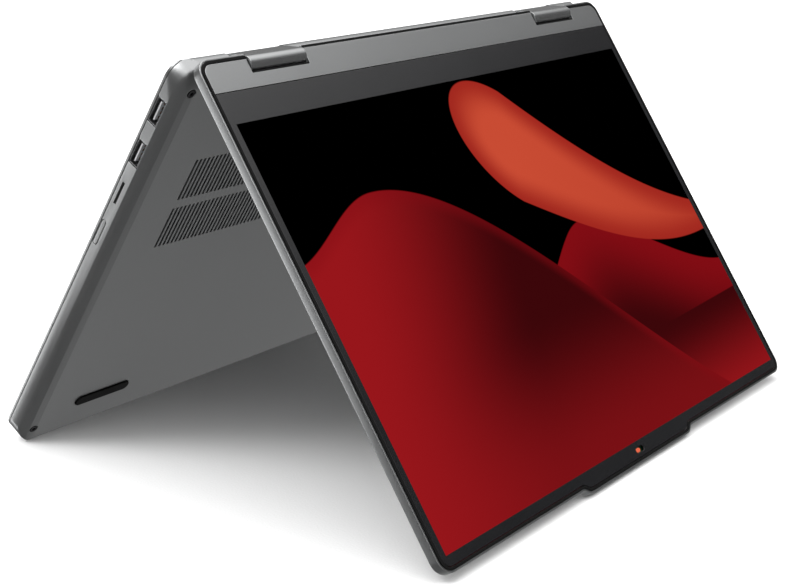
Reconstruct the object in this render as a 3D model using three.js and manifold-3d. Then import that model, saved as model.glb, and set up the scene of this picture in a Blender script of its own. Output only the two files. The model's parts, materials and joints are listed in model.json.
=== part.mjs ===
// A 14-inch convertible laptop computer standing in tent mode. The lid and the keyboard base are the
// tent's two legs, and two double-axis hinges join them at the top.
// Units are millimetres and +Z is up. The screen faces -Y and the keyboard faces +Y, so the laptop's
// right side is at -X. The origin is on the floor, under the middle of the laptop.

import * as THREE from 'three';
import { mergeVertices } from 'three/addons/utils/BufferGeometryUtils.js';
import Module from 'manifold-3d';

const wasm = await Module();
wasm.setup();

// ---------------------------------------------------------------- driving dimensions

const GAP = 0.3; // kept between neighbouring pieces
const FAR = 400; // longer than any piece, for cutting right through

const WIDTH = 313;
const BASE_DEPTH = 224.2;
const BASE_HEIGHT = 11;
const LID_DEPTH = 224.8;
const LID_THICKNESS = 5.2;
const TENT_ANGLE = 66.6; // degrees between the lid's back and the base's bottom

const AXIS_SPACING = 9; // from the base's hinge axis to the lid's
const BASE_AXIS_INSET = 3.2; // from the base's rear edge
const LID_AXIS_INSET = 3.9; // from the lid's hinge edge
const LINK_RADIUS = 3.8;
const PIN_RADIUS = 1.3;
const TENON_RADIUS = 0.6;
const NOTCH_CENTRE = 109.5;
const NOTCH_WIDTH = 36.5;
const BASE_NOTCH_DEPTH = 7.5;
const LID_NOTCH_DEPTH = 9;

const CORNER_RADIUS = 10; // of the base, seen from above
const EDGE_INSET = 9; // the soft bottom edge of the sides and the rear, measured inwards
const EDGE_RISE = 3.9; // the same edge, measured upwards
const FRONT_CHAMFER = 0.9; // the crisp bottom edge at the front
const BOTTOM_THICKNESS = 1.4;
const DECK_THICKNESS = 1.2;
const WALL = 2.2;
const REAR_ROUND = 4.6; // radius of the deck's rear edge, which the lid swings past

const KEY_PITCH = 18.7;
const KEY_GAP = 2.6; // between keycaps
const KEYBOARD_UNITS = 15; // width of every row in key pitches
const KEYBOARD_REAR = 15;

const SCREEN_DEPTH = 188.5;
const SCREEN_WIDTH = 301.6;
const SCREEN_INSET = 29.3; // from the lid's hinge edge
const LID_CORNER_RADIUS = 7;
const STRIP_DEPTH = 15.3; // the plain cover strip along the hinge edge
const BUMP_DEPTH = 2.8; // the camera bump stands out of the lid's free edge
const BUMP_HALF_WIDTH = 45.5;
const BUMP_SHOULDER = 6.5;

// ---------------------------------------------------------------- derived heights in the base

const HALF = WIDTH / 2;
const DECK_UNDER = BASE_HEIGHT - DECK_THICKNESS;
const SEAM = DECK_UNDER - GAP; // top of the bottom cover's side walls
const INNER_FLOOR = BOTTOM_THICKNESS + GAP;
const BACKPLATE = [6.6, 7.2];
const INNER_CEILING = BACKPLATE[0] - GAP;
const BOARD = [3.1, 4.1];
const ON_BOARD = BOARD[1] + GAP;

const NOTCH_INNER = NOTCH_CENTRE - NOTCH_WIDTH / 2;
const NOTCH_OUTER = NOTCH_CENTRE + NOTCH_WIDTH / 2;
const NOTCH_WALL = 1.8;

// ---------------------------------------------------------------- looks

const LOOKS = {
  shell: { color: 0x8c8f8f, roughness: 0.42, metalness: 0.55 },
  rubber: { color: 0x17181a, roughness: 0.85, metalness: 0 },
  glass: { color: 0x0b0b0d, roughness: 0.06, metalness: 0 },
  screen: { color: 0x5a0d10, roughness: 0.25, metalness: 0 },
  keycap: { color: 0x2c2e31, roughness: 0.6, metalness: 0 },
  pad: { color: 0x85888a, roughness: 0.3, metalness: 0.1 },
  steel: { color: 0x9b9c9e, roughness: 0.35, metalness: 1 },
  plastic: { color: 0x1a1b1d, roughness: 0.5, metalness: 0 },
  board: { color: 0x16402c, roughness: 0.6, metalness: 0 },
  copper: { color: 0xb87545, roughness: 0.3, metalness: 1 },
  marker: { color: 0xd8502a, roughness: 0.5, metalness: 0 },
};

// ---------------------------------------------------------------- solids

// A closed three.js geometry as a solid that can be joined and cut.
function toSolid(geometry) {
  const bare = geometry.clone();
  bare.deleteAttribute('normal');
  bare.deleteAttribute('uv');
  const merged = mergeVertices(bare, 1e-4);
  return new wasm.Manifold(new wasm.Mesh({
    numProp: 3,
    vertProperties: new Float32Array(merged.attributes.position.array),
    triVerts: new Uint32Array(merged.index.array),
  }));
}

function toGeometry(solid) {
  const mesh = solid.getMesh();
  const geometry = new THREE.BufferGeometry();
  geometry.setAttribute('position', new THREE.BufferAttribute(mesh.vertProperties, 3));
  geometry.setIndex(new THREE.BufferAttribute(mesh.triVerts, 1));
  geometry.computeVertexNormals();
  return geometry;
}

const join = (solids) => solids.reduce((all, solid) => all.add(solid));

const cut = (solid, tools) => solid.subtract(join(tools));

// A box between two values on each axis.
function block([x0, x1], [y0, y1], [z0, z1]) {
  const box = new THREE.BoxGeometry(x1 - x0, y1 - y0, z1 - z0);
  return toSolid(box.translate((x0 + x1) / 2, (y0 + y1) / 2, (z0 + z1) / 2));
}

// A range on X measured outwards from the middle, on the side where sign is +1 or -1.
const outward = (sign, from, to) => (sign > 0 ? [from, to] : [-to, -from]);

const around = (centre, size) => [centre - size / 2, centre + size / 2];

function prism(shape, [z0, z1], curveSegments = 5) {
  const options = { depth: z1 - z0, bevelEnabled: false, curveSegments };
  return toSolid(new THREE.ExtrudeGeometry(shape, options).translate(0, 0, z0));
}

// An outline drawn on (Y, Z) and extruded along X.
function prismAlongX(shape, [x0, x1], curveSegments = 4) {
  const options = { depth: x1 - x0, bevelEnabled: false, curveSegments };
  const extruded = new THREE.ExtrudeGeometry(shape, options);
  extruded.applyMatrix4(new THREE.Matrix4().set(0, 0, 1, x0, 1, 0, 0, 0, 0, 1, 0, 0, 0, 0, 0, 1));
  return toSolid(extruded);
}

// A solid with an elliptical edge round its lowest face.
function softEdged(shape, height, inset, rise, segments) {
  const options = {
    depth: height,
    curveSegments: 5,
    bevelThickness: rise,
    bevelSize: inset,
    bevelOffset: -inset,
    bevelSegments: segments,
  };
  const pillow = toSolid(new THREE.ExtrudeGeometry(shape, options).translate(0, 0, rise));
  return pillow.intersect(block([-FAR, FAR], [-FAR, FAR], [-1, height]));
}

function rodAlongX(radius, [x0, x1], y, z, sides = 16) {
  const rod = new THREE.CylinderGeometry(radius, radius, x1 - x0, sides).rotateZ(Math.PI / 2);
  return toSolid(rod.translate((x0 + x1) / 2, y, z));
}

function rodAlongZ(radius, x, y, [z0, z1], sides = 16) {
  const rod = new THREE.CylinderGeometry(radius, radius, z1 - z0, sides).rotateX(Math.PI / 2);
  return toSolid(rod.translate(x, y, (z0 + z1) / 2));
}

// ---------------------------------------------------------------- outlines

function roundedRect([x0, x1], [y0, y1], radius) {
  const shape = new THREE.Shape();
  shape.absarc(x1 - radius, y0 + radius, radius, -Math.PI / 2, 0);
  shape.absarc(x1 - radius, y1 - radius, radius, 0, Math.PI / 2);
  shape.absarc(x0 + radius, y1 - radius, radius, Math.PI / 2, Math.PI);
  shape.absarc(x0 + radius, y0 + radius, radius, Math.PI, 1.5 * Math.PI);
  return shape;
}

const pill = (x, y) => roundedRect(x, y, Math.min(x[1] - x[0], y[1] - y[0]) / 2 - 0.001);

const baseOutline = (inset) => roundedRect(
  [inset - HALF, HALF - inset],
  [inset, BASE_DEPTH - inset],
  CORNER_RADIUS - Math.min(inset, CORNER_RADIUS - 1),
);

// The lid's outline, shrunk by inset, with the camera bump on its free edge.
function lidOutline(inset) {
  const side = HALF - inset;
  const edge = LID_DEPTH - inset;
  const round = LID_CORNER_RADIUS - inset;
  const flat = BUMP_HALF_WIDTH - inset / 2;
  const foot = flat + BUMP_SHOULDER;
  const bend = BUMP_SHOULDER / 2;
  const shape = new THREE.Shape();
  shape.absarc(side - round, inset + round, round, -Math.PI / 2, 0);
  shape.absarc(side - round, edge - round, round, 0, Math.PI / 2);
  shape.lineTo(foot, edge);
  shape.bezierCurveTo(foot - bend, edge, flat + bend, edge + BUMP_DEPTH, flat, edge + BUMP_DEPTH);
  shape.lineTo(-flat, edge + BUMP_DEPTH);
  shape.bezierCurveTo(-flat - bend, edge + BUMP_DEPTH, bend - foot, edge, -foot, edge);
  shape.absarc(round - side, edge - round, round, Math.PI / 2, Math.PI);
  shape.absarc(round - side, inset + round, round, Math.PI, 1.5 * Math.PI);
  return shape;
}

// ---------------------------------------------------------------- scene graph

const base = new THREE.Group(); // y runs from rear to front, z from the bottom to the deck
const link = new THREE.Group(); // z runs from the base's hinge axis to the lid's
const lid = new THREE.Group(); // y runs from the hinge edge to the camera, z from glass to back
const tent = new THREE.Group();
tent.add(base, link, lid);

function addPart(group, name, solid, look) {
  const mesh = new THREE.Mesh(toGeometry(solid), new THREE.MeshStandardMaterial(LOOKS[look]));
  mesh.name = name;
  group.add(mesh);
}

const SIDES = [['right', -1], ['left', 1]];

// ---------------------------------------------------------------- hinges

const earThickness = 1.5;
const earOuter = NOTCH_INNER - NOTCH_WALL - GAP;
const earInner = earOuter - earThickness;
const pinTip = NOTCH_OUTER - 7;
const leafInner = 64;

// The holes and pockets that a hinge's pin and bracket need in the housing round them.
function hingeClearance(sign, axisY, axisZ, { ear, leaf }) {
  const grow = ([low, high]) => [low - GAP, high + GAP];
  return [
    rodAlongX(PIN_RADIUS + GAP, outward(sign, earOuter - 1, NOTCH_INNER + 1), axisY, axisZ),
    block(grow(outward(sign, earInner, earOuter)), grow(ear.y), grow(ear.z)),
    block(grow(outward(sign, leafInner, earOuter)), grow(leaf.y), grow(leaf.z)),
  ];
}

// An upright ear that holds the pin's end, and a leaf that is screwed to the housing.
function hingeBracket(sign, axisY, axisZ, { ear, leaf }) {
  const plate = join([
    block(outward(sign, earInner, earOuter), ear.y, ear.z),
    block(outward(sign, leafInner, earOuter), leaf.y, leaf.z),
  ]);
  const screwY = (leaf.y[0] + leaf.y[1]) / 2 + 1;
  const holes = [6, 17].map((x) => rodAlongZ(1, sign * (leafInner + x), screwY, [-1, FAR], 12));
  const tenonHole = rodAlongX(TENON_RADIUS + GAP, outward(sign, 0, NOTCH_INNER), axisY, axisZ, 12);
  return cut(plate, [...holes, tenonHole.intersect(block([-FAR, FAR], ear.y, ear.z))]);
}

const hingePin = (sign, axisY, axisZ) => join([
  rodAlongX(PIN_RADIUS, outward(sign, earOuter + GAP, pinTip), axisY, axisZ),
  rodAlongX(TENON_RADIUS, outward(sign, earInner, earOuter + 1), axisY, axisZ, 12),
]);

const BASE_AXIS_HEIGHT = BASE_HEIGHT / 2;
const LID_AXIS_HEIGHT = LID_THICKNESS / 2;
const BASE_BRACKET = {
  ear: { y: [BASE_AXIS_INSET - 1.7, BASE_AXIS_INSET + 2.4], z: [3.9, 6.3] },
  leaf: { y: [BASE_AXIS_INSET + 1.4, 24], z: [5.2, 6.3] },
};
const LID_BRACKET = {
  ear: { y: [LID_AXIS_INSET - 1.5, LID_AXIS_INSET + 2.4], z: [1.4, 3.9] },
  leaf: { y: [LID_AXIS_INSET + 1.4, 14], z: [3, 3.9] },
};

// The housing between the two axes: a stadium with a blind bore for each pin.
function hingeLink(sign) {
  const profile = new THREE.Shape();
  profile.absarc(0, 0, LINK_RADIUS, Math.PI, 2 * Math.PI);
  profile.absarc(0, AXIS_SPACING, LINK_RADIUS, 0, Math.PI);
  const ends = outward(sign, NOTCH_INNER + 0.5, NOTCH_OUTER - 0.5);
  const boreSpan = outward(sign, 0, pinTip + GAP);
  const bores = [0, AXIS_SPACING].map((z) => rodAlongX(PIN_RADIUS + GAP, boreSpan, 0, z));
  return cut(prismAlongX(profile, ends, 9), bores);
}

for (const [side, sign] of SIDES) {
  addPart(link, `hinge_link_${side}`, hingeLink(sign), 'shell');
  for (const [name, group, inset, height, bracket] of [
    ['base', base, BASE_AXIS_INSET, BASE_AXIS_HEIGHT, BASE_BRACKET],
    ['lid', lid, LID_AXIS_INSET, LID_AXIS_HEIGHT, LID_BRACKET],
  ]) {
    addPart(group, `${name}_hinge_bracket_${side}`, hingeBracket(sign, inset, height, bracket), 'steel');
    addPart(group, `${name}_hinge_pin_${side}`, hingePin(sign, inset, height), 'steel');
  }
}

// What the hinges take out of the housing of a leg, and what is kept solid round their notches.
const notch = (sign, depth) => block(outward(sign, NOTCH_INNER, NOTCH_OUTER), [-1, depth], [-1, FAR]);

const notchSurround = (sign, depth) => block(
  outward(sign, NOTCH_INNER - NOTCH_WALL, NOTCH_OUTER + NOTCH_WALL),
  [-1, depth + NOTCH_WALL],
  [-1, FAR],
);

// ---------------------------------------------------------------- ports and buttons in the side walls

const wallOuter = HALF;
const portDepth = 14;
const portInner = wallOuter - GAP - portDepth;

// Every port: the side it is on, its middle along the base, its mouth and its housing.
const USB_A = { width: 12.5, z: [ON_BOARD, SEAM], shell: 0.4, tongue: [6.9, 8.8] };
const HDMI = { width: 14.4, z: [ON_BOARD, 9.1], shell: 0.4, tongue: [6.6, 7.8] };
const USB_C = { width: 8.9, z: [5.2, 8.6], shell: 0.5, tongue: [6.55, 7.25] };
const MICROSD = { width: 14, z: [5.6, 8.4], mouth: [11.9, 1.3] };
const PORTS = [
  { name: 'usb_a_port_rear', sign: -1, y: 25.4, ...USB_A },
  { name: 'usb_a_port_front', sign: -1, y: 47.7, ...USB_A },
  { name: 'hdmi_port', sign: 1, y: 28, ...HDMI },
  { name: 'usb_c_port_rear', sign: 1, y: 50, ...USB_C },
  { name: 'usb_c_port_front', sign: 1, y: 66, ...USB_C },
];

// A metal shell, open to the outside, with a contact tongue that grows out of its back wall.
function portShell({ sign, y, width, z, shell, tongue }) {
  const outer = block(outward(sign, portInner, wallOuter - GAP), around(y, width), z);
  const hollow = block(
    outward(sign, portInner + 1, wallOuter + 1),
    around(y, width - 2 * shell),
    [z[0] + shell, z[1] - shell],
  );
  const blade = block(outward(sign, portInner + 0.5, wallOuter - 1.6), around(y, width * 0.72), tongue);
  return outer.subtract(hollow).add(blade);
}

const portCut = ({ sign, y, width, z }) => block(
  outward(sign, portInner - GAP, wallOuter + 1),
  around(y, width + 2 * GAP),
  [z[0] - GAP, z[1] + GAP],
);

const sdCentre = 69.9;
const sdFront = wallOuter - WALL - GAP;
const sdMouth = block([-FAR, 2 - sdFront], around(sdCentre, MICROSD.mouth[0]), around(7, MICROSD.mouth[1]));
const sdHousing = block([-sdFront, -portInner], around(sdCentre, MICROSD.width), MICROSD.z);
const sdSlot = block([-FAR, -portInner - 1.5], around(sdCentre, MICROSD.mouth[0]), around(7, MICROSD.mouth[1]));

const jackCentre = 84;
const jackHeight = 6.9;
const jackRadius = 1.75;
const jackSpan = [portInner, sdFront];
const jackBody = block(jackSpan, around(jackCentre, 6.4), [ON_BOARD, 9.2]);
const jackBore = rodAlongX(jackRadius, [portInner + 1.5, FAR], jackCentre, jackHeight);

const buttonLength = 13.4;
const buttonHeight = 2.2;
const buttonCentre = [93.1, 7.9];
const buttonPill = (grow, span) => prismAlongX(
  pill(around(buttonCentre[0], buttonLength + 2 * grow), around(buttonCentre[1], buttonHeight + 2 * grow)),
  span,
);
const powerButton = join([
  buttonPill(0, [-wallOuter, -portInner - 8]),
  block([-sdFront, -portInner - 8], around(buttonCentre[0], 15.4), [6.2, 9.4]),
]);

for (const port of PORTS) addPart(base, port.name, portShell(port), 'steel');
addPart(base, 'microsd_slot', sdHousing.subtract(sdSlot), 'plastic');
addPart(base, 'audio_jack', jackBody.subtract(jackBore), 'plastic');
addPart(base, 'power_button', powerButton, 'shell');

const sideWallCuts = [
  ...PORTS.map(portCut),
  sdMouth,
  rodAlongX(jackRadius, [portInner, FAR], jackCentre, jackHeight),
  buttonPill(GAP, [-FAR, GAP - sdFront]),
];

// ---------------------------------------------------------------- base housing

const screwCorners = [12, BASE_DEPTH - 8.2].flatMap((y) => SIDES.map(([side, sign]) => ({
  name: `cover_screw_${y < BASE_DEPTH / 2 ? 'rear' : 'front'}_${side}`,
  x: sign * (HALF - 7.4),
  y,
})));
const SCREW = { headRadius: 2, headTop: 1, recess: 0.25, shankRadius: 0.9, tip: 7 };

const screwSolid = ({ x, y }, grow) => join([
  rodAlongZ(SCREW.headRadius + grow, x, y, [grow ? -1 : SCREW.recess, SCREW.headTop + grow], 12),
  rodAlongZ(SCREW.shankRadius + grow, x, y, [SCREW.headTop - 0.5, SCREW.tip + grow], 8),
]);

// A slice of the hollow inside the housing, less what stays solid round the notches and the screws.
function baseHollow(inset, rearWall, [z0, z1]) {
  const keptSolid = SIDES.flatMap(([, sign]) => [
    notchSurround(sign, BASE_NOTCH_DEPTH),
    block(outward(sign, HALF - 14, FAR), [-1, 18], [-1, FAR]),
    block(outward(sign, HALF - 14, FAR), [BASE_DEPTH - 18, FAR], [-1, FAR]),
  ]);
  const room = block([-FAR, FAR], [rearWall, FAR], [z0, z1]);
  return cut(prism(baseOutline(inset), [z0, z1]).intersect(room), keptSolid);
}

const baseHingeCuts = SIDES.flatMap(([, sign]) => [
  notch(sign, BASE_NOTCH_DEPTH),
  ...hingeClearance(sign, BASE_AXIS_INSET, BASE_AXIS_HEIGHT, BASE_BRACKET),
]);

// Intake vents in the bottom: on each half, two rows of slots that run along the depth.
const VENT = { pitch: 2.58, width: 1.4, count: 30, start: 125.2, rows: [[52.1, 75.2], [80.3, 103.8]] };
const ventSlots = SIDES.flatMap(([, sign]) => VENT.rows.flatMap((row) => {
  const slots = [];
  for (let i = 0; i < VENT.count; i += 1) {
    const x = sign * (VENT.start - VENT.width / 2 - i * VENT.pitch);
    slots.push(block(around(x, VENT.width), row, [-1, BOTTOM_THICKNESS + 1]));
  }
  return slots;
}));

// Exhaust slots in the rear edge, low enough to be behind the lid in tent mode.
const EXHAUST = { pitch: 6, width: 4.4, z: [3.7, 6], starts: [-54, 2], count: 9 };
const exhaustSlots = EXHAUST.starts.flatMap((start) => {
  const slots = [];
  for (let i = 0; i < EXHAUST.count; i += 1) {
    const x = start + i * EXHAUST.pitch;
    slots.push(block([x, x + EXHAUST.width], [-1, 6], EXHAUST.z));
  }
  return slots;
});

const FOOT = { length: 34.5, width: 5.5, centre: [HALF - 46.25, 205.5], proud: 0.7, sunk: 0.5 };
const REAR_FOOT = { length: 210, width: 6, y: 30 };
const frontFoot = (sign, grow, z) => prism(
  pill(
    around(sign * FOOT.centre[0], FOOT.length + 2 * grow),
    around(FOOT.centre[1], FOOT.width + 2 * grow),
  ),
  z,
  3,
);
const rearFoot = (grow, z) => prism(
  pill(around(0, REAR_FOOT.length + 2 * grow), around(REAR_FOOT.y, REAR_FOOT.width + 2 * grow)),
  z,
  3,
);
const footSpan = [-FOOT.proud, FOOT.sunk];
const footPocket = [-1, FOOT.sunk + GAP];

// The side profile of the housing on (Y, Z): rounded where the lid swings past, crisp at the front.
function baseProfile() {
  const shape = new THREE.Shape();
  shape.moveTo(0, 0);
  shape.lineTo(BASE_DEPTH - FRONT_CHAMFER, 0);
  shape.lineTo(BASE_DEPTH, FRONT_CHAMFER);
  shape.lineTo(BASE_DEPTH, BASE_HEIGHT);
  shape.absarc(REAR_ROUND, BASE_HEIGHT - REAR_ROUND, REAR_ROUND, Math.PI / 2, Math.PI);
  return shape;
}

// The outside of the whole base. The soft edge's outline runs on past the front, so that the soft
// edge is only on the sides and the rear.
function baseBody() {
  const softOutline = roundedRect([-HALF, HALF], [0, BASE_DEPTH + 2 * EDGE_INSET], CORNER_RADIUS);
  return softEdged(softOutline, BASE_HEIGHT, EDGE_INSET, EDGE_RISE, 3)
    .intersect(prism(baseOutline(0), [-1, BASE_HEIGHT + 1]))
    .intersect(prismAlongX(baseProfile(), [-HALF - 1, HALF + 1]));
}

const wholeBase = baseBody();
const below = (height) => block([-FAR, FAR], [-FAR, FAR], [-FAR, height]);

const bottomCover = cut(wholeBase.intersect(below(SEAM)), [
  baseHollow(4.4, 4.4, [BOTTOM_THICKNESS, EDGE_RISE]),
  baseHollow(WALL, 3.2, [EDGE_RISE - 0.1, FAR]),
  ...baseHingeCuts,
  ...sideWallCuts,
  ...ventSlots,
  ...exhaustSlots,
  ...screwCorners.map((corner) => screwSolid(corner, GAP)),
  ...SIDES.map(([, sign]) => frontFoot(sign, GAP, footPocket)),
  rearFoot(GAP, footPocket),
]);

addPart(base, 'bottom_cover', bottomCover, 'shell');
for (const corner of screwCorners) addPart(base, corner.name, screwSolid(corner, 0), 'steel');
for (const [side, sign] of SIDES) {
  addPart(base, `front_foot_${side}`, frontFoot(sign, 0, footSpan), 'rubber');
}
addPart(base, 'rear_foot_strip', rearFoot(0, footSpan), 'rubber');

// ---------------------------------------------------------------- keyboard

const FUNCTION_PITCH = 11.5; // depth of the short top row
const KEYBOARD_LEFT = -KEYBOARD_UNITS * KEY_PITCH / 2; // the laptop's left is at +X, so rows are mirrored

// Widths in key pitches, from the laptop's left. A pair of half-height arrow keys is one width.
const KEY_ROWS = [
  { name: 'key_row_function', pitch: FUNCTION_PITCH, keys: Array(14).fill(KEYBOARD_UNITS / 14) },
  { name: 'key_row_numbers', keys: [...Array(13).fill(1), 2] },
  { name: 'key_row_upper', keys: [1.5, ...Array(12).fill(1), 1.5] },
  { name: 'key_row_home', keys: [1.75, ...Array(11).fill(1), 2.25] },
  { name: 'key_row_lower', keys: [2.25, ...Array(10).fill(1), 2.75] },
];
const BOTTOM_ROW = [
  { name: 'key_row_bottom_left', start: 0, keys: [1.25, 1, 1, 1.25] },
  { name: 'space_bar', start: 4.5, keys: [5.5] },
  { name: 'key_row_bottom_right', start: 10, keys: [1, 1, 1, 1, 1], arrowPair: 3 },
];

let rowRear = KEYBOARD_REAR;
const keyGroups = KEY_ROWS.map((row) => {
  const group = { start: 0, pitch: KEY_PITCH, ...row, rear: rowRear };
  rowRear += group.pitch;
  return group;
});
keyGroups.push(...BOTTOM_ROW.map((row) => ({ pitch: KEY_PITCH, ...row, rear: rowRear })));

// The rectangles that one group's keycaps fill, as [x range, y range].
function keycapRects({ start, keys, pitch, rear, arrowPair }) {
  const y = [rear + KEY_GAP / 2, rear + pitch - KEY_GAP / 2];
  const middle = rear + pitch / 2;
  let unit = start;
  return keys.flatMap((units, index) => {
    const x1 = -KEYBOARD_LEFT - unit * KEY_PITCH - KEY_GAP / 2;
    const x0 = x1 - units * KEY_PITCH + KEY_GAP;
    unit += units;
    if (index !== arrowPair) return [[[x0, x1], y]];
    return [[[x0, x1], [y[0], middle - KEY_GAP / 2]], [[x0, x1], [middle + KEY_GAP / 2, y[1]]]];
  });
}

const KEY_PROUD = 0.3; // the caps stand this much above the deck
const WEB = { z: [8.8, DECK_UNDER - GAP], lip: 0.8 };

// Keycaps on a thin carrier that keeps them under the deck.
function keyGroupSolid(group) {
  const rects = keycapRects(group);
  const xs = rects.flatMap(([x]) => x);
  const ys = rects.flatMap(([, y]) => y);
  const span = (values) => [Math.min(...values) - WEB.lip, Math.max(...values) + WEB.lip];
  const caps = rects.map(([x, y]) => block(x, y, [WEB.z[0] + 0.1, BASE_HEIGHT + KEY_PROUD]));
  return join([block(span(xs), span(ys), WEB.z), ...caps]);
}

const KEY_CLEARANCE = 0.4;
const keyWindows = keyGroups.flatMap(keycapRects).map(([x, y]) => block(
  [x[0] - KEY_CLEARANCE, x[1] + KEY_CLEARANCE],
  [y[0] - KEY_CLEARANCE, y[1] + KEY_CLEARANCE],
  [DECK_UNDER - 1, FAR],
));
for (const group of keyGroups) addPart(base, group.name, keyGroupSolid(group), 'keycap');

// ---------------------------------------------------------------- deck

const PAD = { x: around(0, 122), y: [rowRear + KEY_PITCH + 11, 209], z: [DECK_UNDER - 0.4, BASE_HEIGHT - 0.1] };
const touchpad = prism(roundedRect(PAD.x, PAD.y, 2.5), PAD.z, 3);
const padWindow = prism(
  roundedRect([PAD.x[0] - 0.5, PAD.x[1] + 0.5], [PAD.y[0] - 0.5, PAD.y[1] + 0.5], 3),
  [DECK_UNDER - 1, FAR],
  3,
);

// A shallow scoop for a finger in the middle of the front edge, to lift the lid.
const scoop = rodAlongZ(34, 0, BASE_DEPTH + 32.2, [BASE_HEIGHT - 0.7, FAR], 48);

const keyboardDeck = cut(wholeBase.subtract(below(DECK_UNDER)), [
  ...SIDES.map(([, sign]) => notch(sign, BASE_NOTCH_DEPTH)),
  ...keyWindows,
  padWindow,
  scoop,
]);
addPart(base, 'keyboard_deck', keyboardDeck, 'shell');
addPart(base, 'touchpad', touchpad, 'pad');

// ---------------------------------------------------------------- inside the base

const BOARD_FRONT = 108;
const BOARD_REAR = 13;
const FAN = { x: [-6, 56], y: [28, 95], radius: 24.5, centre: [25, 61] };

const backplate = block([-141.5, 141.5], [KEYBOARD_REAR + 0.5, rowRear + KEY_PITCH - 0.5], BACKPLATE);

function mainboard() {
  const fanBay = block([FAN.x[0] - 2, FAN.x[1] + 2], [-1, FAN.y[1] + 2], [0, FAR]);
  const screwPost = block([HALF - 14 - GAP, FAR], [-1, 18 + GAP], [0, FAR]);
  const outline = block([-100, HALF - 5.5], [BOARD_REAR, BOARD_FRONT], BOARD);
  const board = cut(outline, [fanBay, screwPost]);
  const processor = block(around(-45, 24), around(52, 18), [BOARD[0] + 0.5, 4.7]);
  const memory = [0, 1, 2, 3].map((i) => block(around(-78 + 15 * i, 9), around(82, 12), [BOARD[0] + 0.5, 5]));
  return join([board, processor, ...memory]);
}

function fanHousing() {
  const [x, y] = FAN.centre;
  return cut(block(FAN.x, FAN.y, [INNER_FLOOR, INNER_CEILING]), [
    rodAlongZ(FAN.radius, x, y, [INNER_FLOOR + 0.4, INNER_CEILING - 0.4], 32),
    rodAlongZ(15, x, y, [-1, FAR], 32),
    block([x - FAN.radius, x + FAN.radius], [-1, y], [INNER_FLOOR + 0.4, INNER_CEILING - 0.4]),
  ]);
}

function fanImpeller() {
  const [x, y] = FAN.centre;
  const z = [INNER_FLOOR + 0.8, INNER_CEILING - 0.8];
  const bladeCount = 15;
  const parts = [rodAlongZ(9, x, y, z, 24)];
  for (let i = 0; i < bladeCount; i += 1) {
    const blade = new THREE.BoxGeometry(14, 0.8, z[1] - z[0]).rotateZ(0.5).translate(14.2, 0, 0);
    blade.rotateZ(i * 2 * Math.PI / bladeCount).translate(x, y, (z[0] + z[1]) / 2);
    parts.push(toSolid(blade));
  }
  return join(parts);
}

// Thin upright fins on a common foot, which the heat pipe lies on.
const FINS = { x: [-4, 54], y: [13, 25], top: 4.3, count: 13 };
function finStack() {
  const step = (FINS.x[1] - FINS.x[0] - 0.8) / (FINS.count - 1);
  const parts = [block(FINS.x, FINS.y, [FINS.top - 0.7, FINS.top])];
  for (let i = 0; i < FINS.count; i += 1) {
    const x = FINS.x[0] + i * step;
    parts.push(block([x, x + 0.8], FINS.y, [INNER_FLOOR, FINS.top - 0.1]));
  }
  return join(parts);
}

// A flattened pipe from the processor to the far end of the fins.
function heatPipe() {
  const route = new THREE.CatmullRomCurve3([
    new THREE.Vector3(50, 19, 0),
    new THREE.Vector3(0, 19, 0),
    new THREE.Vector3(-18, 26, 0),
    new THREE.Vector3(-28, 46, 0),
    new THREE.Vector3(-52, 52, 0),
  ]);
  const section = new THREE.Shape();
  section.absellipse(0, 0, 0.6, 3, 0, 2 * Math.PI);
  const options = { steps: 14, extrudePath: route, bevelEnabled: false, curveSegments: 4 };
  return toSolid(new THREE.ExtrudeGeometry(section, options).translate(0, 0, 5.6));
}

const onBoard = (x, y, top) => block(x, y, [ON_BOARD, top]);

addPart(base, 'keyboard_backplate', backplate, 'steel');
addPart(base, 'mainboard', mainboard(), 'board');
addPart(base, 'io_board', block([5.5 - HALF, -104], [BOARD_REAR + 6, BOARD_FRONT], BOARD), 'board');
addPart(base, 'fan_housing', fanHousing(), 'plastic');
addPart(base, 'fan_impeller', fanImpeller(), 'plastic');
addPart(base, 'fin_stack', finStack(), 'copper');
addPart(base, 'heat_pipe', heatPipe(), 'copper');
addPart(base, 'ssd_module', onBoard([70, 92], [40, 100], 6), 'board');
addPart(base, 'wifi_card', onBoard([100, 122], [60, 90], 5.8), 'board');

const batteryOutline = roundedRect(around(0, 208), [116, 212], 2);
addPart(base, 'battery_pack', prism(batteryOutline, [INNER_FLOOR, INNER_CEILING], 2), 'plastic');
for (const [side, sign] of SIDES) {
  const outline = roundedRect(outward(sign, 112, 148), [125, 195], 4);
  addPart(base, `speaker_${side}`, prism(outline, [INNER_FLOOR, INNER_CEILING], 3), 'plastic');
}

// ---------------------------------------------------------------- lid

const LIP_TOP = 0.3; // the metal lip round the lid stops this far behind the glass
const LIP_WIDTH = 0.8;
const RIM_TOP = 0.6; // inside the lip, the rim carries the gasket
const STRIP_THICKNESS = 0.8;
const LID_BACK = 1; // thickness of the back plate
const GASKET = { outer: LIP_WIDTH + 0.2, inner: 2.2, z: [-0.2, RIM_TOP - GAP] };
const GLASS = { inset: GASKET.inner + GAP, z: [0, 0.8] };
const EDGE_SEAL = { y: [0.3, 1.2], z: [0, RIM_TOP - GAP] }; // along the hinge edge, between the hinges
const glassEdge = STRIP_DEPTH + GAP;
const lidFloor = LID_THICKNESS - LID_BACK;

const betweenHinges = (y, z) => block(around(0, 2 * NOTCH_INNER), y, z);
const lidNotches = SIDES.map(([, sign]) => notch(sign, LID_NOTCH_DEPTH));

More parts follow.
